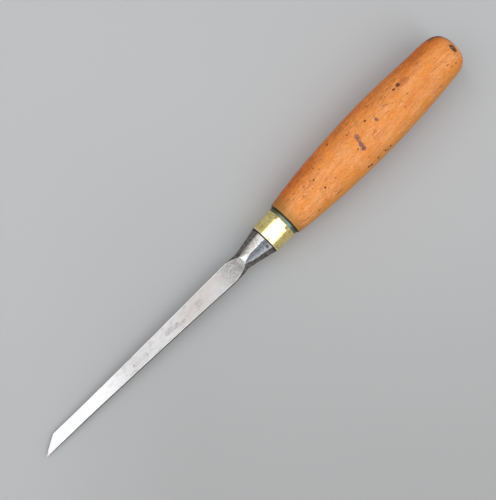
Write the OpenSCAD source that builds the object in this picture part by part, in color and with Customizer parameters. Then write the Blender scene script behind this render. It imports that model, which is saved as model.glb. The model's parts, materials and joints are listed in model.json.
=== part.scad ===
// A lino cutter, lying on a table as it is put down between cuts.
// The blade is one forging: a thin flat blade with a skewed edge, a neck, an eight-sided bolster
// and a square tang. The tang is driven through a brass ferrule into a turned hardwood handle.
// Millimetres. Along the tool, x = 0 is the ferrule's front face: the point is at -x, the butt at +x.

/* [Handle] */
// Length of the handle behind the ferrule
handle_len = 114.3; // [100:0.1:125]
// Diameter where the handle meets the ferrule
handle_front_d = 18.1; // [17.6:0.1:20]
// Largest diameter, at the belly
handle_belly_d = 26; // [23:0.1:30]
// Share of the handle's length at which the belly lies
handle_belly_at = 0.54; // [0.45:0.01:0.6]
// Rise of the handle's outline per millimetre as it leaves the ferrule
handle_front_rise = 0.135; // [0.1:0.005:0.18]
// Diameter where the butt starts to round over
handle_butt_d = 21.9; // [20:0.1:23]
// Length of the rounded butt
handle_butt_len = 10.7; // [8:0.1:14]
// Rounding of the handle's front edge
handle_front_round = 1; // [0.3:0.1:1.1]

/* [Ferrule] */
// Outer diameter of the brass ferrule
ferrule_d = 16; // [15.6:0.1:16.4]
// Length of the ferrule
ferrule_len = 13.2; // [10:0.1:18]
// Wall thickness of the ferrule
ferrule_wall = 0.9; // [0.6:0.1:1.2]
// Chamfer on the ferrule's outer edges
ferrule_chamfer = 0.35; // [0.2:0.05:0.5]

/* [Bolster and tang] */
// Bolster across its corners, where it meets the ferrule
bolster_d = 15.3; // [13:0.1:15.3]
// Length of the bolster, from the ferrule to the waist of the neck
bolster_len = 15; // [12:0.1:18]
// Neck across its corners
neck_d = 8.3; // [7.6:0.1:9]
// Angle from the bolster's top corner to the next corner
bolster_corner = 38; // [34:1:46]
// How gently the flare of the bolster runs out into the neck
neck_blend = 2.5; // [1:0.1:4]
// Width of the level land on top of the neck, where the flat face ends
land_w = 3.7; // [2:0.1:4.5]
// Distance from the ferrule at which that land has run out into the bolster's top corner
land_end = 8.5; // [6:0.1:10]
// Tang across its flats, at the bolster
tang_w = 6.8; // [5:0.1:8]
// Tang across its flats, at its end
tang_end_w = 2.4; // [1.5:0.1:4]
// Length of the tang
tang_len = 62; // [40:1:80]

/* [Blade] */
// From the ferrule's front face to the point of the blade
blade_reach = 140.5; // [110:0.1:150]
// Width of the blade where it leaves the neck
blade_w = 9.5; // [8.8:0.1:10.5]
// Width of the blade at the back corner of its cutting edge
blade_tip_w = 5.75; // [5:0.05:8]
// Distance from the ferrule at which the blade has its full width
shoulder_at = 22.4; // [20:0.1:26]
// Distance from the ferrule up to which the blade tapers; beyond it the edges run parallel
taper_to = 120; // [90:1:121]
// How the taper is spread: 1 is even, and more than 1 is steeper near the shoulder
taper_power = 1.35; // [1:0.05:2]
// Thickness of the blade at its shoulder
blade_t = 3.6; // [3:0.1:4]
// Thickness of the blade at its tip
blade_tip_t = 1.9; // [1.4:0.1:2.4]
// Height of the flat face above the tool's axis
face_z = 1.9; // [1.5:0.1:2.2]
// Radius of the hollow where the flat face runs up into the neck
scoop_r = 12; // [10:0.5:14]
// Distance from the ferrule at which that hollow starts
scoop_at = 20.3; // [20:0.1:21]
// Angle between the cutting edge and the blade's length
skew_angle = 33; // [25:1:50]
// Angle of the bevel ground on the underside
bevel_angle = 25; // [20:1:35]
// How far the blade and bolster lean to one side of the handle's axis, in degrees
blade_lean = 2; // [0:0.05:2.2]

/* [Hidden] */
$fn = 96;
steps = 16;                     // points along each curve
land_steps = 6;                 // points along the hollow and along the land behind it
past = 1;                       // how far cutting shapes run past what they cut
clear = 0.1;                    // how far the land's outline ends above the bolster's top corner
spigot_d = ferrule_d - 2 * ferrule_wall;

// The corners of the bolster lie at 0, bolster_corner, 90, 180 - bolster_corner and 180 degrees on
// both sides, so that its flats face half way between them.
upper_flat = bolster_corner / 2;
side_flat = (bolster_corner + 90) / 2;
upper_reach = cos(upper_flat);
side_reach = cos(90 - side_flat);
flare = (bolster_d - neck_d) / 2 / bolster_len;
neck_end = 2 * shoulder_at;     // the neck's side flats run on this far, inside the blade
neck_spread = 0.18;             // how fast they spread there, so that they leave the blade whole

// The blade's plan is symmetric about its own centre line, before it leans.
point_y = -blade_tip_w / 2;
corner_x = -blade_reach + blade_tip_w / tan(skew_angle);
under_rise = (blade_t - blade_tip_t) / (blade_reach - shoulder_at);
taper_steps = 8;
taper_x = [for (i = [0:taper_steps]) -taper_to + (taper_to - shoulder_at) * i / taper_steps];
function blade_half(x) = blade_tip_w / 2 + (blade_w - blade_tip_w) / 2
    * pow((x + taper_to) / (taper_to - shoulder_at), taper_power);

function bez(p, t) = pow(1 - t, 3) * p[0] + 3 * t * pow(1 - t, 2) * p[1]
    + 3 * t * t * (1 - t) * p[2] + pow(t, 3) * p[3];
function curve(p) = [for (i = [0:steps]) bez(p, i / steps)];

// Handle outline, as [distance behind the ferrule's front face, radius].
front_x = ferrule_len;
belly_x = front_x + handle_len * handle_belly_at;
butt_x = front_x + handle_len - handle_butt_len;
end_x = front_x + handle_len;
front_run = belly_x - front_x;
back_run = butt_x - belly_x;
butt_fall = 0.08;               // slope of the outline where the butt starts to round over
front_r = handle_front_d / 2;
belly_r = handle_belly_d / 2;
butt_r = handle_butt_d / 2;
edge_curve = [for (a = [90:-15:0])
    [front_x + handle_front_round * (1 - sin(90 - a)), front_r - handle_front_round * (1 - sin(a))]];
front_curve = curve([
    [front_x + handle_front_round, front_r],
    [front_x + front_run / 3, front_r + handle_front_rise * front_run / 3],
    [belly_x - front_run / 3, belly_r],
    [belly_x, belly_r]]);
back_curve = curve([
    [belly_x, belly_r],
    [belly_x + back_run / 3, belly_r],
    [butt_x - back_run / 3, butt_r + butt_fall * back_run / 3],
    [butt_x, butt_r]]);
butt_curve = curve([
    [butt_x, butt_r],
    [butt_x + 0.7 * handle_butt_len, butt_r - butt_fall * 0.7 * handle_butt_len],
    [end_x, 0.79 * butt_r],
    [end_x, 0]]);
function tail(list) = [for (i = [1:len(list) - 1]) list[i]];
handle_outline = concat(
    [[0, 0], [0, spigot_d / 2], [front_x, spigot_d / 2]],
    [for (i = [len(edge_curve) - 1:-1:0]) edge_curve[i]],
    tail(front_curve), tail(back_curve), tail(butt_curve));

// Half the neck's width across its corners, at x: a straight flare that eases into the waist.
function neck_r(x) = neck_d / 2
    + flare * (x + bolster_len + sqrt(pow(x + bolster_len, 2) + pow(neck_blend, 2))) / 2;
neck_stations = concat([past], [for (x = [-8:-1.75:-bolster_len]) x], [-bolster_len]);

// How the tool lies: on the handle's belly and on the two corners where the bevel meets the
// underside. lie tips the tool lengthways and roll turns it about its own axis.
function leaned(p) = [
    p[0] * cos(blade_lean) + p[1] * sin(blade_lean),
    p[1] * cos(blade_lean) - p[0] * sin(blade_lean)];
function turned(p) = [leaned(p)[0], leaned(p)[1], p[2]];
function under_z(x) = face_z - blade_tip_t - under_rise * (x + blade_reach);
bevel_fall = sin(skew_angle) * tan(bevel_angle) - under_rise;
near_x = -blade_reach + blade_tip_t / bevel_fall;
far_x = corner_x + (blade_tip_t + under_rise * (corner_x + blade_reach)) / bevel_fall;
near_foot = turned([near_x, -blade_tip_w / 2, under_z(near_x)]);
far_foot = turned([far_x, blade_tip_w / 2, under_z(far_x)]);
function rolled_z(p, roll) = p[2] * cos(roll) - p[1] * sin(roll);
function find_lie(roll) = max([for (p = handle_outline)
    atan((rolled_z(near_foot, roll) + p[1]) / (p[0] - near_foot[0]))]);
function find_roll(lie) = asin((tan(lie) * (far_foot[0] - near_foot[0]) + far_foot[2] - near_foot[2])
    / (far_foot[1] - near_foot[1]));
lie_guess = find_lie(0);
roll = find_roll(find_lie(find_roll(lie_guess)));
lie = find_lie(roll);
rest_z = -(near_foot[0] * sin(lie) + rolled_z(near_foot, roll) * cos(lie));
point_at = turned([-blade_reach, point_y, face_z]);
low_x = point_at[0] * cos(lie) - rolled_z(point_at, roll) * sin(lie);
mid_x = (low_x + end_x * cos(lie)) / 2;

module lay() {
    translate([-mid_x, 0, rest_z]) rotate([0, -lie, 0]) rotate([-roll, 0, 0]) children();
}

// A straight-sided slab that is square to the x axis, facing angle degrees from the top.
module slab(outline, angle, width) {
    rotate([angle, 0, 0]) rotate([90, 0, 0]) linear_extrude(height = width, center = true)
        polygon(outline);
}

// Both edges of a slab that has the same outline above and below.
module flats(reach, angle, spread) {
    upper = concat(
        [for (x = neck_stations) [x, neck_r(x) * reach]],
        [[-neck_end, neck_r(-bolster_len) * reach + spread * (neck_end - bolster_len)]]);
    slab(concat(upper, [for (i = [len(upper) - 1:-1:0]) [upper[i][0], -upper[i][1]]]),
        angle, 3 * bolster_d);
}

// Seen from above: the point, the skewed edge, the long taper and the sides of the neck.
module blade_plan() {
    waist_r = neck_r(-bolster_len);
    linear_extrude(height = 2 * bolster_d, center = true) polygon(concat(
        [leaned([-blade_reach, point_y]), leaned([corner_x, blade_tip_w / 2])],
        [for (x = taper_x) leaned([x, blade_half(x)])],
        [leaned([-bolster_len, waist_r]), [past, bolster_d]],
        [[past, -bolster_d], leaned([-bolster_len, -waist_r])],
        [for (i = [taper_steps:-1:0]) leaned([taper_x[i], -blade_half(taper_x[i])])]));
}

// Seen from the side: the flat face, its hollow end, the land on the neck that runs out into the
// bolster's top corner, and the underside that drops to the neck.
module blade_side() {
    land_z = neck_r(-bolster_len) - land_w / 2 * tan(upper_flat);
    scoop_sweep = acos(1 - (land_z - face_z) / scoop_r);
    scoop_end = -scoop_at + scoop_r * sin(scoop_sweep);
    land_drop = neck_r(scoop_end) - land_z;
    scoop = [for (i = [0:land_steps]) let (a = scoop_sweep * i / land_steps)
        [-scoop_at + scoop_r * sin(a), face_z + scoop_r * (1 - cos(a))]];
    land = [for (i = [1:land_steps]) let (t = i / land_steps, x = scoop_end - (scoop_end + land_end) * t)
        [x, neck_r(x) + clear - (land_drop + clear) * (1 - t * t * (3 - 2 * t))]];
    belly_start = -bolster_len - neck_blend;
    belly_end = -1.5 * shoulder_at;
    neck_low = -neck_r(-bolster_len) - past;
    belly = curve([
        [belly_start, neck_low], [belly_start - 5, neck_low + past],
        [belly_end + 6, under_z(belly_end + 6)], [belly_end, under_z(belly_end)]]);
    slab(concat([[-blade_reach - past, face_z]], scoop, land,
        [[past, bolster_d], [past, -bolster_d], [belly_start, -bolster_d]], belly,
        [[-blade_reach - past, under_z(-blade_reach - past)]]), 0, 2 * bolster_d);
}

// What the grinding wheel takes off below the cutting edge.
module bevel_waste() {
    point = turned([-blade_reach, point_y, face_z]);
    translate(point) rotate([0, 0, skew_angle - blade_lean]) rotate([bevel_angle, 0, 0])
        translate([-blade_reach / 2, -blade_reach / 2, -blade_reach])
            cube([blade_reach, blade_reach, blade_reach]);
}

module tang() {
    side = [[-2, tang_w / 2], [0, tang_w / 2], [tang_len, tang_end_w / 2],
        [tang_len, -tang_end_w / 2], [0, -tang_w / 2], [-2, -tang_w / 2]];
    intersection() {
        slab(side, 0, 2 * tang_w);
        slab(side, 90, 2 * tang_w);
    }
}

module blade() {
    tall = 4 * bolster_d;
    color("lightsteelblue") lay() union() {
        difference() {
            intersection() {
                blade_plan();
                blade_side();
                union() {
                    // The bolster leans as the blade does, but its end is square to the handle.
                    intersection() {
                        translate([-neck_end, -tall / 2, -tall / 2]) cube([neck_end, tall, tall]);
                        rotate([0, 0, -blade_lean]) intersection() {
                            flats(upper_reach, upper_flat, 0);
                            flats(upper_reach, -upper_flat, 0);
                            flats(side_reach, side_flat, neck_spread);
                            flats(side_reach, -side_flat, neck_spread);
                        }
                    }
                    translate([-blade_reach - past, -tall / 2, -tall / 2])
                        cube([blade_reach + 2 * past - neck_end, tall, tall]);
                }
            }
            bevel_waste();
        }
        tang();
    }
}

module ferrule() {
    outer = ferrule_d / 2;
    color("goldenrod") lay() rotate([0, 90, 0]) rotate_extrude() polygon([
        [spigot_d / 2, 0], [outer - ferrule_chamfer, 0], [outer, ferrule_chamfer],
        [outer, ferrule_len - ferrule_chamfer], [outer - ferrule_chamfer, ferrule_len],
        [spigot_d / 2, ferrule_len]]);
}

module handle() {
    color("peru") lay() difference() {
        rotate([0, 90, 0]) rotate_extrude() polygon([for (p = handle_outline) [p[1], p[0]]]);
        tang();
    }
}

blade();
ferrule();
handle();
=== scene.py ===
import json
import math

import bpy
import numpy as np
from mathutils import Matrix, Vector


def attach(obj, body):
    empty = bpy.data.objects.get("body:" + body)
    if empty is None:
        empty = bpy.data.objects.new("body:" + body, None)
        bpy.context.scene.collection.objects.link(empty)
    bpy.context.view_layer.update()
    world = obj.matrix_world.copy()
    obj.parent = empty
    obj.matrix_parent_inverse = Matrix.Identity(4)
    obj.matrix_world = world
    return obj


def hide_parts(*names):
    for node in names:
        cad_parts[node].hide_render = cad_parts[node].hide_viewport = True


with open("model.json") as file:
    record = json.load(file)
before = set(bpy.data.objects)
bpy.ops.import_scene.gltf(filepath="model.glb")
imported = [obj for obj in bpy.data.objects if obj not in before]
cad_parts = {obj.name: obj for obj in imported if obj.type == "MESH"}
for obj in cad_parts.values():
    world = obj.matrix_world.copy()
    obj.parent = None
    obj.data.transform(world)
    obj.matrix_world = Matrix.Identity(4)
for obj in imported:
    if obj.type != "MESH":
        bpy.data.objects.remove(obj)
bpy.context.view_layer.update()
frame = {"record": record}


# ---------------------------------------------------------------------------------------- BLADE
# One piece of tool steel, forged and then ground: a long flat blade with a skewed edge bevelled
# from below, a waisted neck and an eight-sided bolster. The flats above and below are polished,
# those at the sides keep their dark forge scale. A square tang behind it holds it in the handle.

MM = 0.001

# The tool lies on its handle and the tip of its blade, so its own frame is tipped and rolled. In
# it, x runs from the ferrule's front face to the butt, z stands on the blade's flat face and y
# points to the side of the blade's back corner. All shapes here are written in it, in mm.
mounts = {mount["name"]: mount for mount in frame["record"]["mounts"]}
ferrule_len = 13.2
along = -Vector(mounts["ferrule_outside"]["axis"]).normalized()
face_up = Vector(mounts["blade_flat"]["axis"]).normalized()
across = face_up.cross(along).normalized()
ferrule_middle = Vector(mounts["ferrule_outside"]["pos_m"])
tool_start = ferrule_middle - along * (ferrule_len / 2 * MM)
tool_turn = Matrix((along, across, face_up)).transposed()


def laid(points):
    """Points of the tool's own frame, in mm, as places on the table in metres."""
    return np.asarray(points) * MM @ np.array(tool_turn).T + np.array(tool_start)


def skin(rings, joined=False):
    """Points and faces of a tube through rings of equal count. Fans shut its ends, or the ends
    are joined to each other, as where the last ring lies inside the first."""
    count = len(rings[0])
    points = [point for ring in rings for point in ring]
    faces = []
    for i in range(len(rings) if joined else len(rings) - 1):
        here, there = i * count, (i + 1) % len(rings) * count
        for j in range(count):
            k = (j + 1) % count
            faces.append((here + j, here + k, there + k, there + j))
    open_ends = [] if joined else [0, (len(rings) - 1) * count]
    for first in open_ends:
        middle = len(points)
        points.append(np.mean(points[first:first + count], axis=0))
        for j in range(count):
            faces.append((first + j, first + (j + 1) % count, middle))
    return points, faces


def make_piece(name, points, faces, finish, node):
    """A shown piece that stands for one CAD node."""
    mesh = bpy.data.meshes.new(name)
    mesh.from_pydata([tuple(p) for p in laid(points)], [], faces)
    mesh.validate()
    mesh.shade_smooth()
    mesh.materials.append(finish)
    piece = bpy.data.objects.new(name, mesh)
    bpy.context.scene.collection.objects.link(piece)
    bpy.context.view_layer.objects.active = piece
    piece.select_set(True)
    bpy.ops.object.mode_set(mode="EDIT")
    bpy.ops.mesh.select_all(action="SELECT")
    bpy.ops.mesh.normals_make_consistent(inside=False)
    bpy.ops.object.mode_set(mode="OBJECT")
    piece.select_set(False)
    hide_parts(node)
    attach(piece, "root")
    return piece


class Flow:
    """A socket in a material. Sums on it add the Math nodes that work them out."""

    def __init__(self, tree, socket=None):
        self.tree = tree
        self.socket = socket

    def node(self, kind, settings=None, inputs=None, out=0):
        """Adds a node: first its settings, then the values or links of its sockets."""
        made = self.tree.nodes.new("ShaderNode" + kind)
        for name, value in (settings or {}).items():
            setattr(made, name, value)
        for name, value in (inputs or {}).items():
            if isinstance(value, Flow):
                self.tree.links.new(value.socket, made.inputs[name])
            else:
                made.inputs[name].default_value = value
        return Flow(self.tree, made.outputs[out])

    def maths(self, operation, a, b=0.0):
        return self.node("Math", {"operation": operation}, {0: a, 1: b})

    def __add__(self, other):
        return self.maths("ADD", self, other)

    __radd__ = __add__

    def __sub__(self, other):
        return self.maths("SUBTRACT", self, other)

    def __rsub__(self, other):
        return self.maths("SUBTRACT", other, self)

    def __mul__(self, other):
        return self.maths("MULTIPLY", self, other)

    __rmul__ = __mul__

    def __abs__(self):
        return self.maths("ABSOLUTE", self)

    def band(self, low, high):
        """0 below low, 1 above high and smooth between them, or the other way round."""
        settings = {"interpolation_type": "SMOOTHSTEP"}
        return self.node("MapRange", settings, {0: self, 1: low, 2: high, 3: 0.0, 4: 1.0})

    def split(self):
        return [self.node("SeparateXYZ", None, {0: self}, i) for i in range(3)]

    def scaled(self, x, y, z):
        return self.node("VectorMath", {"operation": "MULTIPLY"}, {0: self, 1: (x, y, z)})

    def moved(self, x, y, z):
        return self.node("VectorMath", {"operation": "ADD"}, {0: self, 1: (x, y, z)})

    def dot(self, direction):
        settings = {"operation": "DOT_PRODUCT"}
        return self.node("VectorMath", settings, {0: self, 1: tuple(direction)}, 1)

    def length(self):
        return self.node("VectorMath", {"operation": "LENGTH"}, {0: self}, 1)

    def noise(self, scale, detail, roughness):
        sockets = {"Vector": self, "Scale": scale, "Detail": detail, "Roughness": roughness}
        return self.node("TexNoise", None, sockets)

    def cells(self, scale):
        """Distance to the nearest of a scatter of points."""
        return self.node("TexVoronoi", None, {"Vector": self, "Scale": scale})

    def patch(self, centre, sizes, ragged):
        """1 on a patch of the given half sizes round a place and 0 off it, its edge ragged."""
        gap = self.moved(*(-place for place in centre)).scaled(*(1 / size for size in sizes))
        return (gap.length() + ragged).band(1.15, 0.7)

    def over(self, top, mask):
        """This colour with another laid over it where mask is 1."""
        return self.node("Mix", {"data_type": "RGBA"}, {0: mask, 6: self, 7: top}, 2)

    def shade(self, amount):
        """This colour made darker or lighter by a number."""
        grey = self.node("CombineColor", None, {0: amount, 1: amount, 2: amount})
        settings = {"data_type": "RGBA", "blend_type": "MULTIPLY"}
        return self.node("Mix", settings, {0: 1.0, 6: self, 7: grey}, 2)

    def colour(self, red, green, blue):
        flat = self.node("RGB")
        flat.socket.default_value = (red, green, blue, 1.0)
        return flat

    def bump(self, height, depth_mm, strength):
        sockets = {"Height": height, "Distance": depth_mm * MM, "Strength": strength}
        return self.node("Bump", None, sockets)


def new_finish(name, **constants):
    """A material, its shader, and the place on the tool in mm that its patterns are laid out by."""
    finish = bpy.data.materials.new(name)
    finish.use_nodes = True
    tree = finish.node_tree
    shader = tree.nodes["Principled BSDF"]
    for socket, value in constants.items():
        shader.inputs[socket.replace("_", " ")].default_value = value
    place = Flow(tree).node("TexCoord", None, None, "Object")
    sockets = {
        "Vector": place,
        "Location": tuple(tool_start),
        "Rotation": tuple(tool_turn.to_euler("XYZ")),
        "Scale": (MM, MM, MM),
    }
    return finish, shader, place.node("Mapping", {"vector_type": "TEXTURE"}, sockets)


def feed(shader, **flows):
    """Links what changes over the surface into the shader."""
    for socket, flow in flows.items():
        flow.tree.links.new(flow.socket, shader.inputs[socket.replace("_", " ")])


blade_reach = 140.5         # ferrule face to point
blade_w = 9.5               # at the shoulder
blade_tip_w = 5.75          # between the parallel edges near the point
shoulder_at = 22.4          # how far ahead of the ferrule the blade is widest
taper_to = 120.0            # the edges taper up to here and run parallel beyond
taper_power = 1.35          # above 1, the taper is hollow
blade_t = 3.6               # thickness at the shoulder
blade_tip_t = 1.9
face_z = 1.9                # height of the flat face over the tool's axis
skew = math.radians(33)
bevel = math.radians(25)
lean = math.radians(2)      # the blade leans a little to one side of its handle
bolster_r = 7.65            # half the bolster across its corners
bolster_len = 15.0
neck_r = 4.15
neck_blend = 2.5            # how gently the bolster's flare runs out into the neck
neck_spread = 0.18          # how fast the neck's side flats part inside the blade
neck_from = -2 * shoulder_at        # ahead of here they lie outside the blade
corner_at = [-11.0, 0.0]    # where the bolster's upper corners are given
bolster_corner = {1: [42.0, 36.5], -1: [41.5, 43.0]}    # degrees from the top, on each side
corner_worn = {1: 0.05, -1: 0.09}   # share filed off those corners beside the land
corner_worn_from = -9.0
corner_worn_run = 6.0
worn_spread = 0.0105
crown = 4.6                 # crown radius of the flats, in halves of the width across corners
crown_steps = [math.radians(degrees) for degrees in (-4, -2, 0, 2, 4)]
filing_waver = 0.04
land_w = 2.5                # level land on top of the neck
land_slope = math.tan(math.radians(19))
land_end = 8.5
land_soft_r = 1.6           # of its long edges
land_soft_turn = 0.8        # how far they round over, as a share of a flat's turn
land_least = 0.02           # a land lower than this is left off
side_splay = math.radians(8)        # of the side away from the back corner, as ground
side_foot = 0.32
scoop_r = 12.0              # hollow where the face runs up into the neck
scoop_at = 21.0
swell_from = -1.5 * shoulder_at     # the underside swells from here to meet the neck
swell_run = 17.0
tang_half = 3.4
tang_end_half = 1.2
tang_len = 62.0
tang_chamfer = 0.3          # drawn in over the last tang_chamfer_len
tang_chamfer_len = 0.4
tang_round = 0.15
ring_count = 128
by_length, by_turn = 0.7, 0.3       # how a ring's points are shared out along its outline


def ease(t):
    t = min(max(t, 0.0), 1.0)
    return t * t * (3 - 2 * t)


def leaned(x, y):
    """A point of the blade's own plan in the tool's."""
    return x * math.cos(lean) + y * math.sin(lean), y * math.cos(lean) - x * math.sin(lean)


def neck_reach(x):
    """Half the bolster and neck across corners: a straight flare that eases into the waist."""
    flare = (bolster_r - neck_r) / bolster_len
    s = x + bolster_len
    return neck_r + flare * (s + math.hypot(s, neck_blend)) / 2


def waver(x, seed, size):
    """The small unevenness that hand filing leaves along a flat."""
    return size * (math.sin(x * 0.41 + seed * 2.3) + 0.6 * math.sin(x * 1.13 + seed * 5.1)) / 2


def plan_half(x):
    """Half the width of the plan: the tapering blade, then the sides of the neck."""
    if x > -shoulder_at:
        to_neck = (x + shoulder_at) / (shoulder_at - bolster_len)
        return blade_w / 2 + (neck_reach(-bolster_len) - blade_w / 2) * to_neck
    widened = max(0.0, (x + taper_to) / (taper_to - shoulder_at)) ** taper_power
    return blade_tip_w / 2 + (blade_w - blade_tip_w) / 2 * widened


land_z = neck_reach(-bolster_len) - land_w / 2 * land_slope
scoop_end = -scoop_at + scoop_r * math.sin(math.acos(1 - (land_z - face_z) / scoop_r))
land_drop = neck_reach(scoop_end) - land_z


def soft_planes(level, height, turn, soft_r):
    """A level top of the given half width, rounded off on both sides as far as turn."""
    steps = [turn * share / 4 for share in range(-4, 5)]
    return [(step, level * math.sin(abs(step)) + (height - soft_r) * math.cos(step) + soft_r)
            for step in steps]


def top_planes(x):
    """The flat face, its hollow end and, behind that, the land on the neck, softly rounded into
    the flats beside it."""
    if x < -scoop_at:
        return [(0.0, face_z)]
    if x < scoop_end:
        return [(0.0, face_z + scoop_r - math.sqrt(scoop_r ** 2 - (x + scoop_at) ** 2))]
    waist = neck_reach(x)
    drop = land_drop * (x + land_end) / (scoop_end + land_end)
    if drop < land_least:
        return []
    turn = math.radians(bolster_corner[1][0] / 2)
    soft_r = min(land_soft_r, drop * math.cos(turn) / (1 - math.cos(turn)))
    level = (drop * math.cos(turn) - soft_r * (1 - math.cos(turn))) / math.sin(turn)
    return soft_planes(level, waist - drop, land_soft_turn * turn, soft_r)


# The cutting edge was honed by hand and isn't quite straight, so its bevel has two planes. Each
# goes through the kink, and through the point or the back corner.
kink = (-137.4, -0.52)
point = (-blade_reach, -blade_tip_w / 2)
back_corner = (blade_tip_w / math.tan(skew) - blade_reach, blade_tip_w / 2)


def bevel_planes(x):
    """The two planes of the bevel, which fall from the edge to the underside."""
    planes = []
    edge_x, edge_y = leaned(*kink)
    for first, second in ((point, kink), (kink, back_corner)):
        edge_turn = math.atan2(second[1] - first[1], second[0] - first[0]) - lean
        y_part = math.tan(bevel) * math.cos(edge_turn)
        behind = (x - edge_x) * math.sin(edge_turn) + edge_y * math.cos(edge_turn)
        reach = (math.tan(bevel) * behind - face_z) / math.hypot(y_part, 1.0)
        planes.append((math.atan2(y_part, -1.0), reach))
    return planes


def neck_planes(x):
    """The eight flats of the bolster and neck, each a little crowned, and the worn corners."""
    waist = neck_reach(max(x, -bolster_len))
    behind = max(-bolster_len - x, 0.0)
    planes = []
    for side in (-1, 1):
        corner = math.radians(np.interp(x, corner_at, bolster_corner[side]))
        upper, lower = corner / 2, (corner + math.pi / 2) / 2
        top_reach, side_reach = waist * math.cos(upper), waist * math.cos(lower - corner)
        side_reach += neck_spread * behind
        filed_off = corner_worn[side] * ease((corner_worn_from - x) / corner_worn_run)
        corner_reach = waist * (1 - filed_off) + worn_spread * behind ** 2
        crown_r = crown * waist
        flats = [(upper, top_reach, crown_r), (lower, side_reach, crown_r),
                 (math.pi - lower, side_reach, crown_r), (math.pi - upper, top_reach, crown_r),
                 (corner, corner_reach, waist)]
        for i, (turn, reach, round_r) in enumerate(flats):
            reach += waver(x, side * (i + 1), filing_waver)
            for step in crown_steps:
                crowned = reach * math.cos(step) + round_r * (1 - math.cos(step))
                planes.append((side * (turn + step), crowned))
    return planes


def blade_planes(x):
    """The planes that bound the blade's section at x, as (turn from the top, reach)."""
    planes = top_planes(x)
    if x > neck_from:
        planes += neck_planes(x)
    if x < -bolster_len:
        half = plan_half(x)
        splayed = half * math.cos(side_splay) + face_z * math.sin(side_splay)
        planes += [(math.pi / 2, half), (-math.pi / 2, half + side_foot),
                   (side_splay - math.pi / 2, splayed)]
        thinning = (blade_t - blade_tip_t) / (blade_reach - shoulder_at)
        under = blade_tip_t - face_z + thinning * (x + blade_reach)
        swell = (neck_reach(-bolster_len) - under) * ease((x - swell_from) / swell_run)
        planes.append((math.pi, under + swell))
    middle = -x * math.tan(lean)
    return [(turn, reach + middle * math.sin(turn)) for turn, reach in planes] + bevel_planes(x)


def rounded_ring(planes, rounding):
    """The outline that planes leave, its corners rounded, as ring_count points. They start at the
    middle of its top, run down the +y side and up the other, and crowd at the corners."""
    far = 99.0
    corners = [(-far, -far), (far, -far), (far, far), (-far, far)]
    for turn, reach in planes:
        y_part, z_part = math.sin(turn), math.cos(turn)
        kept = []
        for i, here in enumerate(corners):
            there = corners[(i + 1) % len(corners)]
            a = y_part * here[0] + z_part * here[1] - (reach - rounding)
            b = y_part * there[0] + z_part * there[1] - (reach - rounding)
            if a <= 0:
                kept.append(here)
            if a * b < 0:
                t = a / (a - b)
                kept.append((here[0] + t * (there[0] - here[0]), here[1] + t * (there[1] - here[1])))
        corners = kept
    corners = np.array(corners)
    # Each half is walked by the way it faces, with a spot on both sides of every plane's own turn.
    nudge, least_gap = 1e-6, 1e-5
    halves = []
    for start in (0.0, math.pi):
        turns = {start + math.radians(degrees) for degrees in range(5, 180, 5)}
        turns |= {start + nudge, start + math.pi - nudge}
        for turn, _ in planes:
            gap = (turn - start) % (2 * math.pi)
            if least_gap < gap < math.pi - least_gap:
                turns |= {start + gap - nudge, start + gap + nudge}
        turns = np.array(sorted(turns))
        outward = np.stack([np.sin(turns), np.cos(turns)], axis=1)
        spots = corners[np.argmax(outward @ corners.T, axis=1)] + rounding * outward
        halves.append((turns - start, spots))
    ring = []
    for (turns, spots), (_, others) in zip(halves, reversed(halves)):
        spots = np.vstack([(spots[0] + others[-1]) / 2, spots, (spots[-1] + others[0]) / 2])
        turns = np.concatenate([[0.0], turns, [math.pi]])
        way = np.concatenate([[0.0], np.cumsum(np.hypot(*np.diff(spots, axis=0).T))])
        measure = by_length * way / way[-1] + by_turn * turns / math.pi
        wanted = np.linspace(0.0, 1.0, ring_count // 2 + 1)[:-1]
        ring += list(zip(np.interp(wanted, measure, spots[:, 0]),
                         np.interp(wanted, measure, spots[:, 1])))
    return ring


def tang_half_at(x):
    """Half the width of the square tang."""
    return tang_half + (tang_end_half - tang_half) * x / tang_len


# Where the rings lie: close together at the point and cutting edge, and in the hollow and neck.
stations = np.concatenate([
    -blade_reach + 0.1 + 4.3 * np.linspace(0, 1, 30) ** 1.3,
    np.linspace(-blade_reach + 4.6, -118.0, 70),
    np.linspace(-116.8, -36.0, 72),
    np.linspace(-35.4, -24.0, 24),
    np.linspace(-23.7, -8.0, 88),
    np.linspace(-7.5, -0.6, 16)])
# Radius of the worn edges along the blade: keen at the point, soft at the neck.
worn_at = [-blade_reach, -138.0, -120.0, -26.0, -20.0, -12.0]
worn_r = [0.01, 0.04, 0.08, 0.24, 0.30, 0.22]
blade_rings = []
for x in stations:
    ring = rounded_ring(blade_planes(x), np.interp(x, worn_at, worn_r))
    blade_rings.append([(x, y, z) for y, z in ring])
# The bolster ends square to the handle, with a small rounded edge that seats on the ferrule.
base_round = [(-0.25, 0.0), (-0.07, 0.06), (0.0, 0.2)]      # each as (x, how far it draws in)
base_ring = np.array(rounded_ring(blade_planes(base_round[0][0]), worn_r[-1]))
for x, inset in base_round:
    blade_rings.append([(x, y, z) for y, z in base_ring * (1 - inset / bolster_r)])
for x in (0.0, 0.5, 20.0, 40.0, tang_len - tang_chamfer_len, tang_len):
    half = tang_half_at(x) - (tang_chamfer if x == tang_len else 0.0)
    sides = [(quarter * math.pi / 2, half) for quarter in range(4)]
    blade_rings.append([(x, y, z) for y, z in rounded_ring(sides, tang_round)])

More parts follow.
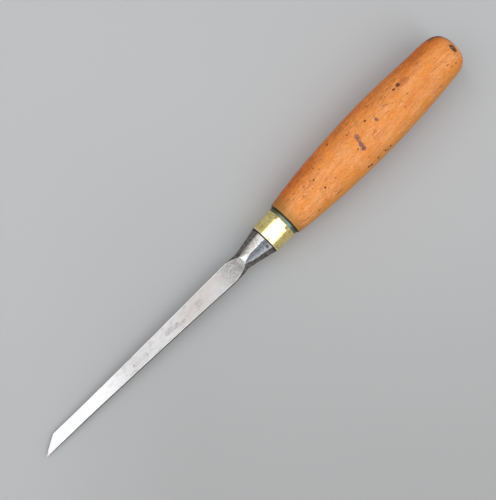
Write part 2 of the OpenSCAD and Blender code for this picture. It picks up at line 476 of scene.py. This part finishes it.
# Steel: honed bright towards the tip, duller and smudged towards the neck, finely scratched
# lengthways, with worn bright edges, and with dark scale on whatever faces sideways. A band of x
# fades in from its first place to its second, in mm, and x is negative ahead of the ferrule.
blade_finish, shader, at = new_finish("blade_steel", Metallic=1.0)
x, y, z = at.split()
normal = at.node("NewGeometry", None, None, "Normal")
upward = normal.dot(face_up)
sideways = normal.dot(across)
lengthways = at.scaled(0.1, 5.0, 5.0).noise(1.0, 6.0, 0.7)
grinding = at.scaled(4.0, 0.35, 0.35).moved(9.0, 4.0, 1.0).noise(1.0, 4.0, 0.65)
cloud = at.scaled(0.05, 0.16, 0.16).noise(1.0, 4.0, 0.6)
smudge = at.scaled(0.3, 0.6, 0.6).moved(3.0, 1.0, 7.0).noise(1.0, 5.0, 0.65)
mottle = at.scaled(0.45, 0.8, 0.8).moved(1.0, 4.0, 2.0).noise(1.0, 6.0, 0.75)
grain = at.moved(7.0, 3.0, 1.0).noise(1.6, 5.0, 0.7)
honed = (x + 16.0 * (cloud - 0.5)).band(-82.0, -106.0)
steel = at.colour(0.470, 0.462, 0.465).over((0.64, 0.64, 0.65, 1.0), honed)
smudged = smudge.band(0.50, 0.66) * x.band(-112.0, -84.0) * x.band(-22.0, -48.0)
steel = steel.over((0.36, 0.355, 0.36, 1.0), 0.45 * smudged)
warm = cloud.band(0.40, 0.60) * x.band(-66.0, -46.0) * x.band(-20.0, -30.0)
steel = steel.over((0.45, 0.405, 0.38, 1.0), 0.5 * warm)
steel = steel.shade(1.0 - 0.15 * x.band(-66.0, -42.0))
# Grey stains on the face, each as (x, y, half length, half width, strength).
stains = [
    (-82.7, 2.5, 2.0, 1.2, 0.7), (-75.9, 2.2, 1.4, 1.6, 0.6), (-61.2, 2.2, 3.2, 1.7, 0.9),
    (-57.0, 1.6, 2.2, 1.5, 0.9), (-53.0, 0.5, 1.4, 1.0, 0.9), (-42.5, 1.2, 2.8, 2.0, 0.6)]
stipple = at.moved(6.0, 2.0, 8.0).scaled(0.9, 1.1, 1.1).noise(1.0, 4.0, 0.85)
for stain_x, stain_y, size_x, size_y, strength in stains:
    stain = at.patch((stain_x, stain_y, face_z), (size_x, size_y, 1.0), 3.0 * (stipple - 0.5))
    steel = steel.over((0.20, 0.175, 0.175, 1.0), strength * stain * stipple.band(0.47, 0.55))
pits = at.moved(5.0, 2.0, 3.0).cells(0.9).band(0.15, 0.06) * smudge.band(0.47, 0.6)
steel = steel.over((0.22, 0.20, 0.19, 1.0), 0.5 * pits)
# The hollow is ground across and darker; its end by the land is lightened, a painted reflection.
hollow = (x + 1.5 * (cloud - 0.5)).band(-31.0, -21.0) * x.band(-13.6, -14.3)
steel = steel.over((0.36, 0.35, 0.345, 1.0), hollow)
steel = steel.over((0.66, 0.65, 0.645, 1.0), hollow * x.band(-17.2, -14.7))
streaked = 0.30 * (lengthways - 0.5) + (0.30 + 0.5 * hollow) * (mottle - 0.5)
streaked = streaked + hollow * (0.5 * (grinding - 0.5) + 2.2 * (stipple - 0.5))
steel = steel.shade(1.0 + streaked)
# Painted highlight: the polished level land on the neck is made near white where it faces up.
land = upward.band(0.93, 0.97) * x.band(-14.5, -13.9) * x.band(-9.8, -12.6)
steel = steel.over((0.80, 0.80, 0.79, 1.0), 0.9 * land)
# Bright worn edges all along the flat face, and a touch of rust at the back corner.
rim = abs(sideways).band(0.03, 0.14) * abs(sideways).band(0.86, 0.6) * x.band(-15.6, -16.8)
steel = steel.over((0.86, 0.85, 0.84, 1.0), 0.8 * rim * z.band(face_z - 0.5, face_z - 0.2))
rust = at.patch((-139.2, 2.9, face_z), (1.0, 0.8, 1.0), 1.4 * (grain - 0.5))
steel = steel.over((0.62, 0.44, 0.36, 1.0), 0.5 * rust)
# The bolster's upper flats: a pale one, brown towards the +y side, and a darker one on the other
# side with a painted bluish reflection of the sky, a painted pale reflection along its edge away
# from the top, and one rust pit near the ferrule.
bolster = x.band(-14.6, -13.2) * upward.band(0.5, 0.7)
steel = steel.over((0.57, 0.56, 0.55, 1.0), bolster * (1.0 - land))
brown = (sideways + 0.2 * (grain - 0.5)).band(0.20, 0.42) * bolster
steel = steel.over((0.30, 0.275, 0.26, 1.0), brown)
# The flat on the -y side is darker steel, with a painted bluish reflection of the sky.
dark_sky_tinted = (sideways + 0.1 * (grain - 0.5)).band(-0.1, -0.24) * bolster
steel = steel.over((0.36, 0.38, 0.415, 1.0), dark_sky_tinted)
# Painted reflection: a pale band along the edge of that flat away from the top.
outer = (sideways + 0.06 * (grain - 0.5)).band(-0.33, -0.40)
steel = steel.over((0.78, 0.79, 0.83, 1.0), outer * bolster)
worked = 0.5 * (grinding - 0.5) + 0.6 * (mottle - 0.5) + 1.8 * (stipple - 0.5)
steel = steel.shade(1.0 + bolster * (1.0 - land) * worked)
halo = at.patch((-1.7, -3.6, 6.2), (1.9, 1.7, 2.0), 0.8 * (grain - 0.5))
steel = steel.over((0.72, 0.73, 0.75, 1.0), 0.6 * halo)
dark_pit = at.patch((-1.9, -3.1, 6.2), (0.8, 1.0, 2.0), 2.4 * (grain - 0.5))
steel = steel.over((0.12, 0.12, 0.15, 1.0), 0.8 * dark_pit)
# The underside is smudged, the sides are black with scale, and so is the seat at the ferrule.
below = upward.band(-0.3, -0.8)
steel = steel.over((0.36, 0.35, 0.34, 1.0), 0.5 * below * smudge.band(0.4, 0.6))
scaled_over = (abs(sideways) + 0.3 * (grain - 0.5)).band(0.46, 0.60)
streaks = at.scaled(1.3, 0.5, 0.5).moved(1.0, 6.0, 2.0).noise(1.0, 5.0, 0.7)
forge_scale = at.colour(0.115, 0.100, 0.095).over((0.36, 0.33, 0.31, 1.0), streaks.band(0.42, 0.66))
steel = steel.over(forge_scale, scaled_over)
seat = (abs(x + 0.1) + 0.3 * (grain - 0.5)).band(0.60, 0.22)
steel = steel.over((0.045, 0.032, 0.026, 1.0), 0.9 * seat)
gloss = 0.42 - 0.12 * honed + 0.1 * smudged + 0.1 * (lengthways - 0.5) - 0.2 * bolster + 0.3 * seat
gloss = gloss + 0.2 * scaled_over + 0.13 * hollow
height = 0.5 * lengthways + 0.5 * grinding * hollow - 0.8 * pits + 1.2 * scaled_over * streaks - dark_pit
feed(shader, Base_Color=steel, Roughness=gloss, Normal=at.bump(height, 0.012, 0.5))
points, faces = skin(blade_rings)
blade = make_piece("blade_forging", points, faces, blade_finish, "blade")
flats_first = blade.modifiers.new("flats_first", "WEIGHTED_NORMAL")
flats_first.weight = 80


# -------------------------------------------------------------------------------------- FERRULE
# A short length of drawn brass tube, driven over the front of the handle so that the tang can't
# split the wood. It is softly dented, painted paler on top as a highlight, and crusted with
# verdigris where its rear edge meets the wood.

ferrule_r = 8.0
ferrule_wall = 0.9
ferrule_draw = 0.12         # how much narrower the tube is at its front
edge_round = 0.35
tube_waver = 0.012          # how far the tube is out of true
crust_from = 11.4
crust_run = 0.6
crust_ragged = 0.5
crust_lump = 0.03


def turns_round(count):
    return np.arange(count) * 2 * math.pi / count


def turned_ring(x, radius, turns):
    """A ring of the tool's frame. It starts at the top and runs down the +y side."""
    radius = np.broadcast_to(radius, turns.shape)
    return np.stack([np.full(turns.shape, x), radius * np.sin(turns), radius * np.cos(turns)], axis=1)


def lumps(x, turns, seed):
    """A smooth uneven pattern round a turned piece, between about -1 and 1."""
    return sum(np.sin((2 * k + seed) * turns + 1.7 * k * seed + x * (0.9 + 0.55 * k)) / k ** 0.6
               for k in range(1, 7)) / 3


def dent(x, turns, radius, centre_x, centre_turn, size_x, size_round):
    """1 at the bottom of a dent and 0 away from it."""
    gap = (turns - centre_turn + math.pi) % (2 * math.pi) - math.pi
    return np.exp(-(((x - centre_x) / size_x) ** 2 + (gap * radius / size_round) ** 2))


around = turns_round(192)
quarter_turn = np.linspace(0, math.pi / 2, 6)
outside = [(edge_round * (1 - math.cos(a)), ferrule_r - ferrule_draw - edge_round * (1 - math.sin(a)))
           for a in quarter_turn]
outside += [(x, ferrule_r - ferrule_draw * (1 - x / ferrule_len))
            for x in np.linspace(0.6, ferrule_len - edge_round - 0.1, 74)]
outside += [(ferrule_len - edge_round * (1 - math.sin(a)), ferrule_r - edge_round * (1 - math.cos(a)))
            for a in quarter_turn]
# Soft dents, each as (x, turn from the top, size, depth).
dents = [(4.2, 0.5, 1.6, 0.05), (8.5, -0.9, 2.2, 0.06), (6.0, 2.4, 1.8, 0.07), (9.5, -2.6, 2.0, 0.06),
         (2.6, -0.3, 0.9, 0.04), (10.2, 0.15, 1.2, 0.05)]
ferrule_rings = [turned_ring(0.0, ferrule_r - ferrule_wall, around)]
for x, radius in outside:
    shape = radius + tube_waver * (lumps(x * 0.25, around, 1) - 1.2)
    for dent_x, dent_turn, size, depth in dents:
        shape = shape - depth * dent(x, around, radius, dent_x, dent_turn, size, size)
    crust = np.clip((x - crust_from - crust_ragged * lumps(x * 0.2, around, 3)) / crust_run, 0, 1)
    shape = shape + crust * (crust_lump * lumps(x * 1.6, around, 5) - 0.02)
    ferrule_rings.append(turned_ring(x, np.minimum(shape, ferrule_r), around))
ferrule_rings.append(turned_ring(ferrule_len, ferrule_r - ferrule_wall, around))
points, faces = skin(ferrule_rings, joined=True)

# Brass: paler on top as a painted highlight, tarnished olive elsewhere, turned marks round it, a
# few black specks, and blue-green verdigris that goes nearly black in the corner against the wood.
brass_finish, shader, at = new_finish("ferrule_brass")
x, y, z = at.split()
film = at.scaled(0.25, 0.25, 0.25).noise(1.0, 5.0, 0.65)
turning = at.scaled(7.0, 0.15, 0.15).noise(1.0, 3.0, 0.6)
grime = at.scaled(1.2, 0.6, 0.6).moved(2.0, 5.0, 1.0).noise(1.0, 6.0, 0.7)
from_top = y.maths("ARCTAN2", y, z)
crumbs = at.moved(4.0, 4.0, 4.0).noise(1.4, 5.0, 0.75)
brass = at.colour(0.95, 0.78, 0.33).over((0.68, 0.49, 0.13, 1.0), 0.75 * film.band(0.44, 0.70))
sides = abs(from_top + 0.06).band(0.38, 0.60)
# Painted highlight: the top is paler, where the strip light's reflection lies.
brass = brass.over((0.88, 0.77, 0.44, 1.0), 0.5 * (1.0 - sides))
brass = brass.over((0.44, 0.30, 0.07, 1.0), 0.8 * sides * grime.band(0.50, 0.64))
brass = brass.shade(0.77 + 0.20 * turning + 0.26 * crumbs)
# Painted highlight: the rounded front edge is made pale where it would catch the light.
front_rim_highlight = (x + 0.5 * (grime - 0.5)).band(1.1, 0.4)
brass = brass.over((0.97, 0.86, 0.55, 1.0), 0.8 * front_rim_highlight)
specks = at.moved(1.0, 7.0, 2.0).cells(0.55).band(0.12, 0.05) * film.band(0.45, 0.55)
brass = brass.over((0.20, 0.14, 0.06, 1.0), 0.7 * specks)
# Brown dirt lies in front of the verdigris and in a few stains. It is a dull crust, so the metal
# doesn't shine through it.
dirt = 0.85 * (x + 1.5 * (grime - 0.5) + 1.2 * (crumbs - 0.5)).band(10.7, 11.5)
# The stains, each as (x, degrees from the top, half length, half round, strength).
for stain_x, degrees, size_x, size_round, strength in (
        (10.5, 24, 1.1, 0.9, 0.75), (10.4, -26, 1.0, 1.1, 0.75), (10.2, -46, 1.2, 0.9, 0.75),
        (1.0, 42, 0.35, 1.2, 0.5), (0.8, -10, 0.4, 0.9, 0.6)):
    turn = math.radians(degrees)
    place = (stain_x, ferrule_r * math.sin(turn), ferrule_r * math.cos(turn))
    stain = at.patch(place, (size_x, size_round, size_round), 1.5 * (grime - 0.5))
    dirt = dirt.maths("MAXIMUM", dirt, strength * stain)
brass = brass.over((0.22, 0.165, 0.070, 1.0), dirt)
green = (x + 1.6 * (grime - 0.5) + 1.8 * (crumbs - 0.5)).band(crust_from - 0.2, crust_from + 0.3)
patina = at.scaled(0.8, 0.35, 0.35).moved(8.0, 1.0, 4.0).noise(1.0, 4.0, 0.6)
verdigris = at.colour(0.21, 0.235, 0.165).over((0.055, 0.064, 0.014, 1.0), from_top.band(0.15, 0.7))
verdigris = verdigris.over((0.20, 0.33, 0.32, 1.0), from_top.band(-0.15, -0.4) * patina.band(0.35, 0.5))
verdigris = verdigris.over((0.060, 0.088, 0.055, 1.0), from_top.band(-0.50, -0.75))
verdigris = verdigris.over((0.04, 0.09, 0.060, 1.0), 0.7 * crumbs.band(0.52, 0.66))
verdigris = verdigris.over((0.016, 0.022, 0.014, 1.0), (x + 0.6 * (grime - 0.5)).band(12.4, 13.2))
brass = brass.over(verdigris, green)
seam = (x + 0.2 * (grime - 0.5)).band(0.26, 0.08)
brass = brass.over((0.10, 0.07, 0.04, 1.0), 0.8 * seam)
dull = dirt.maths("MAXIMUM", dirt, green)
gloss = 0.19 + 0.14 * film + 0.05 * (turning - 0.5) + 0.5 * dull
height = 0.4 * turning + 0.3 * grime - specks + 3.0 * green * grime
feed(shader, Base_Color=brass, Metallic=1.0 - dull, Roughness=gloss,
     Normal=at.bump(height, 0.02, 0.3))
make_piece("ferrule_tube", points, faces, brass_finish, "ferrule")


# --------------------------------------------------------------------------------------- HANDLE
# Fine-grained hardwood, turned in a lathe to a long belly and a rounded butt, with a spigot
# under the ferrule and a tapered hole burnt in for the tang. Its thin varnish is worn and it
# carries years of dents, ink, rust and tool marks.

handle_len = 114.3
handle_end = ferrule_len + handle_len
handle_front_r = 9.05
handle_front_slope = 0.135
front_round = 1.0
handle_belly_r = 13.0
belly_x = ferrule_len + 0.54 * handle_len
butt_len = 10.7
butt_x = handle_end - butt_len
butt_r = 10.95              # where the butt starts to round
butt_slope = 0.08
butt_reach = 0.7            # shares of the butt's length and radius that its curve bends at
butt_fullness = 0.79
butt_swell = 0.45           # how much fuller the butt is on its far side
butt_swell_from = 104.0
butt_swell_run = 12.0
turning_waver = 0.03
spigot_r = ferrule_r - ferrule_wall
spigot_chamfer = 0.4


def bezier(corners, steps):
    """Points of a cubic curve, the first left out."""
    t = np.linspace(0, 1, steps + 1)[1:, None]
    a, b, c, d = np.array(corners, float)
    return (1 - t) ** 3 * a + 3 * t * (1 - t) ** 2 * b + 3 * t * t * (1 - t) * c + t ** 3 * d


front_run = belly_x - ferrule_len
back_run = butt_x - belly_x
profile = np.vstack([
    [(ferrule_len + front_round * (1 - math.sin(a)), handle_front_r - front_round * (1 - math.cos(a)))
     for a in np.linspace(math.pi / 2, 0, 9)],
    bezier([(ferrule_len + front_round, handle_front_r),
            (ferrule_len + front_run / 3, handle_front_r + handle_front_slope * front_run / 3),
            (belly_x - front_run / 3, handle_belly_r),
            (belly_x, handle_belly_r)], 150),
    bezier([(belly_x, handle_belly_r),
            (belly_x + back_run / 3, handle_belly_r),
            (butt_x - back_run / 3, butt_r + butt_slope * back_run / 3),
            (butt_x, butt_r)], 100),
    bezier([(butt_x, butt_r),
            (butt_x + butt_reach * butt_len, butt_r - butt_slope * butt_reach * butt_len),
            (handle_end, butt_fullness * butt_r),
            (handle_end, 0.0)], 54)[:-1]])

# Marks of use, each as (distance behind the ferrule's front, degrees round from the top towards
# +y, half length, half width, depth of its dent, colour, strength), in mm but the angle.
ink = (0.135, 0.058, 0.088, 1.0)
bruise = (0.100, 0.038, 0.022, 1.0)
rusty = (0.42, 0.11, 0.04, 1.0)
ochre = (0.70, 0.245, 0.015, 1.0)
bare_end = (0.32, 0.20, 0.16, 1.0)
marks = [
    (96.4, 23, 3.0, 1.9, 0.0, rusty, 0.5), (97.2, -46, 4.4, 1.0, 0.0, ochre, 0.8),
    (39.2, -55, 2.8, 0.7, 0.1, bruise, 0.35), (29.4, 45, 1.2, 0.8, 0.1, rusty, 0.7),
    (60.8, 58, 1.3, 1.0, 0.1, rusty, 0.7), (74.4, 6, 0.9, 1.2, 0.0, ink, 0.75),
    (62.3, 11, 1.2, 1.5, 0.0, ink, 0.6), (61.8, 3, 1.1, 1.6, 0.0, ink, 0.55),
    (61.2, -8, 1.1, 1.6, 0.0, ink, 0.75), (60.8, -17, 1.2, 1.1, 0.0, ink, 0.85),
    (93.2, 27, 1.25, 1.15, 0.35, bruise, 0.95), (90.2, 26, 0.7, 0.65, 0.25, bruise, 0.95),
    (70.2, 22, 0.75, 0.6, 0.25, bruise, 1.0), (35.6, -18, 0.55, 0.45, 0.25, bruise, 1.0),
    (42.2, -19, 0.5, 0.45, 0.15, bruise, 0.7), (25.8, 5, 0.7, 0.35, 0.1, bruise, 0.6),
    (29.0, 21, 0.8, 0.7, 0.1, bruise, 0.45), (34.4, 14, 0.7, 0.5, 0.2, bruise, 0.8),
    (32.8, 19, 0.6, 0.35, 0.1, bruise, 0.7), (38.2, 35, 0.7, 0.4, 0.1, bruise, 0.6),
    (39.8, 22, 0.5, 0.4, 0.1, bruise, 0.5), (51.0, 53, 0.8, 0.6, 0.2, bruise, 0.9),
    (60.0, 29, 0.5, 0.4, 0.1, bruise, 0.8), (61.4, 29, 0.5, 0.4, 0.1, bruise, 0.8),
    (58.6, -9, 0.45, 0.45, 0.1, bruise, 0.8), (60.0, -40, 0.6, 0.4, 0.1, bruise, 0.5),
    (26.8, -56, 0.9, 0.5, 0.1, bruise, 0.6), (32.4, -45, 0.6, 0.5, 0.1, bruise, 0.4),
    (57.4, -62, 0.6, 0.9, 0.2, bruise, 0.95), (59.0, -65, 0.8, 1.1, 0.25, bruise, 0.95),
    (63.6, -64, 0.6, 1.0, 0.25, bruise, 0.9), (68.4, -63, 0.5, 1.0, 0.2, bruise, 0.95),
    (69.6, -68, 0.9, 0.5, 0.2, bruise, 0.95), (71.6, -64, 0.5, 0.9, 0.2, bruise, 0.9),
    (76.2, 44, 0.5, 0.5, 0.1, bruise, 0.8), (93.2, -2, 1.1, 0.28, 0.1, bruise, 0.6),
    (81.2, 16, 1.3, 0.25, 0.1, bruise, 0.55), (88.0, -19, 0.5, 0.4, 0.1, bruise, 0.7),
    (107.0, 33, 1.5, 0.3, 0.1, bruise, 0.55), (111.8, -42, 1.6, 0.25, 0.1, rusty, 0.7),
    (107.8, -53, 1.3, 0.4, 0.1, rusty, 0.7), (116.4, -25, 0.8, 0.35, 0.15, bruise, 0.8),
    (117.6, -37, 0.7, 0.35, 0.15, bruise, 0.8), (120.4, -40, 0.8, 0.35, 0.15, bruise, 0.8),
    (124.2, -6, 1.3, 2.5, 0.35, bruise, 0.95), (124.3, -3, 0.5, 0.7, 0.0, bare_end, 0.8)]
# Dents that the same years leave on the sides and below, without a stain.
hidden_dents = [(47.0, 150, 1.4, 1.0, 0.25), (82.0, -140, 1.8, 1.2, 0.25), (100.0, 172, 1.0, 0.8, 0.2),
                (66.0, 110, 2.2, 0.8, 0.2), (28.0, -120, 1.3, 0.9, 0.2), (112.0, 95, 1.0, 1.2, 0.25)]
dented = [mark[:5] for mark in marks if mark[4]] + hidden_dents

# The rings run from the bottom of the tang's hole forward, over the spigot and back to the butt.
handle_turns = turns_round(232)
handle_rings = []
for x in (tang_len, 40.0, 20.0, 0.0):
    across_square = np.maximum(np.abs(np.sin(handle_turns)), np.abs(np.cos(handle_turns)))
    handle_rings.append(turned_ring(x, tang_half_at(x) / across_square, handle_turns))
handle_rings.append(turned_ring(0.0, spigot_r - spigot_chamfer, handle_turns))
for x in (spigot_chamfer, 5.0, ferrule_len):
    handle_rings.append(turned_ring(x, spigot_r, handle_turns))
for x, radius in profile:
    shape = np.full(handle_turns.shape, radius)
    for dent_x, degrees, size_x, size_round, depth in dented:
        hit = dent(x, handle_turns, radius, dent_x, math.radians(degrees), size_x, size_round)
        shape = shape - depth * hit * min(1.0, radius / 4)
    # The unevenness and the fuller side of the butt both die out where the wood closes in.
    closing = min(1.0, radius / 8)
    shape = shape - turning_waver * (1 + lumps(x * 0.035, handle_turns, 1)) * closing
    fuller = butt_swell * ease((x - butt_swell_from) / butt_swell_run) * closing
    shape = shape + fuller * np.maximum(np.sin(handle_turns), 0.0) ** 2
    handle_rings.append(turned_ring(x, shape, handle_turns))
points, faces = skin(handle_rings)

# Wood: warm orange-brown, redder along the far side and browner on the near one, with faint growth
# rings, fine straight fibres, short dark pores and a scatter of specks.
wood_finish, shader, at = new_finish("handle_wood", IOR=1.45, Specular_IOR_Level=0.2)
x, y, z = at.split()
drift = at.scaled(0.02, 0.05, 0.05).noise(1.0, 3.0, 0.5)
fibre = at.scaled(0.14, 2.6, 2.6).noise(1.0, 5.0, 0.65)
mottle = at.scaled(0.09, 0.16, 0.16).moved(4.0, 2.0, 6.0).noise(1.0, 5.0, 0.65)
speckle = at.scaled(0.7, 1.4, 1.4).moved(5.0, 2.0, 8.0).noise(1.0, 5.0, 0.85)
ragged = at.moved(3.0, 3.0, 9.0).noise(0.9, 5.0, 0.7)
from_top = y.maths("ARCTAN2", y, z)
pith = at.moved(0.0, -19.0, 34.0).scaled(0.0, 1.0, 1.0).length() + 0.035 * x + 9.0 * drift
growth = pith.maths("FRACT", pith * 0.62)
growth = growth.band(0.0, 0.75) * growth.band(1.0, 0.9)
wood = at.colour(0.80, 0.280, 0.060).over((0.84, 0.355, 0.130, 1.0), mottle.band(0.36, 0.64))
wood = wood.over((0.70, 0.235, 0.045, 1.0), 0.35 * growth)
far_side = (from_top + 0.9 * (mottle - 0.5)).band(0.22, 1.2)
redder = x.band(52.0, 30.0) + x.band(92.0, 108.0)
wood = wood.over((0.57, 0.142, 0.006, 1.0), 0.78 * far_side)
wood = wood.over((0.48, 0.095, 0.006, 1.0), 0.75 * redder * far_side)
near_side = (from_top + 0.6 * (mottle - 0.5)).band(-0.6, -1.4)
wood = wood.over((0.60, 0.225, 0.030, 1.0), 0.8 * near_side)
wood = wood.shade(0.28 + 0.48 * fibre + 0.96 * speckle)
figure = at.scaled(0.3, 0.75, 0.75).moved(2.0, 5.0, 3.0).noise(1.0, 4.0, 0.85)
wood = wood.shade(1.0 + (0.35 + 2.1 * far_side) * (figure - 0.5))
red_patch = at.scaled(0.07, 0.22, 0.22).moved(9.0, 2.0, 4.0).noise(1.0, 4.0, 0.65).band(0.52, 0.68)
wood = wood.over((0.62, 0.145, 0.025, 1.0), 0.4 * red_patch)
vein = abs(at.scaled(0.045, 0.30, 0.30).moved(2.0, 7.0, 5.0).noise(1.0, 4.0, 0.6) - 0.5)
wood = wood.over((0.40, 0.115, 0.025, 1.0), 0.7 * vein.band(0.020, 0.005) * mottle.band(0.42, 0.6))
pores = at.scaled(0.5, 3.6, 3.6).moved(1.0, 1.0, 1.0).noise(1.0, 2.0, 0.5)
pore_zone = at.scaled(0.08, 0.2, 0.2).moved(7.0, 3.0, 5.0).noise(1.0, 3.0, 0.6)
pore = pores.band(0.64, 0.72) * pore_zone.band(0.36, 0.58)
wood = wood.over((0.25, 0.070, 0.016, 1.0), 0.85 * pore)
big_cells = at.scaled(0.5, 1.0, 1.0).moved(2.0, 8.0, 4.0).cells(0.55)
small_cells = at.scaled(0.5, 1.0, 1.0).moved(6.0, 1.0, 3.0).cells(1.1)
fleck = big_cells.band(0.15, 0.07) * pore_zone.band(0.42, 0.5)
fleck = fleck.maths("MAXIMUM", fleck, 0.7 * small_cells.band(0.2, 0.1) * ragged.band(0.48, 0.58))
wood = wood.over((0.19, 0.056, 0.020, 1.0), 0.85 * fleck)
for distance, degrees, size_x, size_round, _, colour, strength in marks:
    radius = float(np.interp(distance, profile[:, 0], profile[:, 1]))
    turn = math.radians(degrees)
    place = (distance, radius * math.sin(turn), radius * math.cos(turn))
    patch = at.patch(place, (size_x, size_round, size_round), 1.6 * (ragged - 0.5))
    wood = wood.over(colour, strength * patch)
# Brown dirt has crept into the wood at the ferrule, and the wood's rounded edge against it is painted
# near black.
stain = (x + 2.4 * (ragged - 0.5)).band(ferrule_len + 6.5, ferrule_len + 1.0)
wood = wood.over((0.30, 0.165, 0.035, 1.0), 0.6 * stain)
seeped = at.patch((16.5, 6.5, 6.5), (5.0, 5.0, 5.5), 3.0 * (ragged - 0.5))
wood = wood.over((0.33, 0.145, 0.030, 1.0), 0.45 * seeped)
black_edge = (x + 0.5 * (ragged - 0.5)).band(ferrule_len + 0.65, ferrule_len + 0.15)
wood = wood.over((0.032, 0.034, 0.020, 1.0), black_edge)
# The rounding of the butt is painted nearly black on its far side, where it turns down.
normal = at.node("NewGeometry", None, None, "Normal")
turned_down = (normal.dot(face_up) + 0.3 * (ragged - 0.5)).band(0.64, 0.36)
rim = turned_down * normal.dot(across).band(-0.15, 0.15) * x.band(117.0, 121.5)
wood = wood.over((0.10, 0.030, 0.016, 1.0), 0.95 * rim)
gloss = 0.44 + 0.14 * (mottle - 0.5) + 0.12 * (fibre - 0.5)
height = 0.5 * fibre - 0.9 * pore - 1.2 * fleck + 0.15 * ragged
feed(shader, Base_Color=wood, Roughness=gloss, Normal=at.bump(height, 0.05, 0.5))
make_piece("handle_turned", points, faces, wood_finish, "handle")


# ------------------------------------------------------------------------------ TABLE AND LIGHT
# A plain grey table, not part of the tool, with painted shade that darkens its near side. A long
# strip light hangs over the ferrule and across the tool, a broad soft light stands off the far side
# of the blade and a weaker one off the near side of the handle, and a plain sky fills in.

table_half = 12.0
table_mesh = bpy.data.meshes.new("table")
table_mesh.from_pydata([(-table_half, -table_half, 0), (table_half, -table_half, 0),
                        (table_half, table_half, 0), (-table_half, table_half, 0)], [], [(0, 1, 2, 3)])
table_finish = bpy.data.materials.new("table_grey")
table_finish.use_nodes = True
shader = table_finish.node_tree.nodes["Principled BSDF"]
place = Flow(table_finish.node_tree).node("TexCoord", None, None, "Object")
cloudy = place.noise(5.0, 3.0, 0.5)
# Painted shade: the table's colour is darker towards its near side.
darker = place.dot((-0.72, -0.69, 0.0)).band(-0.09, 0.12)
darker = darker * (1.0 - 0.7 * place.dot((-0.69, 0.72, 0.0)).band(0.02, 0.12))
grey = place.colour(0.474, 0.477, 0.482).over((0.388, 0.388, 0.388, 1.0), darker)
shader.inputs["Roughness"].default_value = 0.6
shader.inputs["Specular IOR Level"].default_value = 0.25
feed(shader, Base_Color=grey.shade(0.97 + 0.06 * cloudy))
table_mesh.materials.append(table_finish)
table = bpy.data.objects.new("table", table_mesh)
bpy.context.scene.collection.objects.link(table)

world = bpy.data.worlds.new("studio")
world.use_nodes = True
bpy.context.scene.world = world
world.node_tree.nodes["Background"].inputs["Color"].default_value = (0.94, 0.97, 1.0, 1.0)
world.node_tree.nodes["Background"].inputs["Strength"].default_value = 0.52


def panel(name, place, aim, width, height, radiance, colour):
    """A soft rectangular light at place, facing aim. Its width runs along the tool, and its
    radiance is what a mirror would show."""
    data = bpy.data.lights.new(name, "AREA")
    data.shape = "RECTANGLE"
    data.size = width
    data.size_y = height
    data.energy = radiance * math.pi * width * height
    data.color = colour
    lamp = bpy.data.objects.new(name, data)
    back = (Vector(place) - Vector(aim)).normalized()
    right = (Vector((1, 0, 0)) - back * back.x).normalized()
    turn = Matrix((right, back.cross(right), back)).transposed().to_4x4()
    lamp.matrix_world = Matrix.Translation(place) @ turn
    lamp.visible_camera = False
    bpy.context.scene.collection.objects.link(lamp)


panel("strip_light", (0.02, -0.19, 0.9), aim=(0.02, -0.19, 0.0), width=0.16, height=2.52,
      radiance=4.0, colour=(1.0, 0.99, 0.975))
panel("far_light", (-0.55, 0.50, 1.0), aim=(-0.05, 0.0, 0.0), width=0.85, height=1.15,
      radiance=1.3, colour=(1.0, 0.995, 0.985))
panel("near_light", (0.42, -0.62, 1.0), aim=(0.03, 0.0, 0.0), width=0.7, height=0.9,
      radiance=1.1, colour=(1.0, 0.995, 0.985))

# The camera stands nearly overhead. picture_up is the way on the table, from +X towards +Y, that
# points up in the picture.
camera_data = bpy.data.cameras.new("camera")
camera_data.sensor_width = 36.0
camera_data.lens = 100.8
camera_data.clip_start = 0.01
camera = bpy.data.objects.new("camera", camera_data)
camera_at = Vector((-0.09095, 0.04204, 0.6489))
camera_aim = Vector((-0.00106, 0.00173, 0.00005))
picture_up = math.radians(44.008)
back = (camera_at - camera_aim).normalized()
right = Vector((math.cos(picture_up), math.sin(picture_up), 0)).cross(back).normalized()
camera.matrix_world = Matrix.Translation(camera_at) @ Matrix(
    (right, back.cross(right), back)).transposed().to_4x4()
bpy.context.scene.collection.objects.link(camera)
bpy.context.scene.camera = camera
bpy.context.scene.view_settings.view_transform = "Standard"
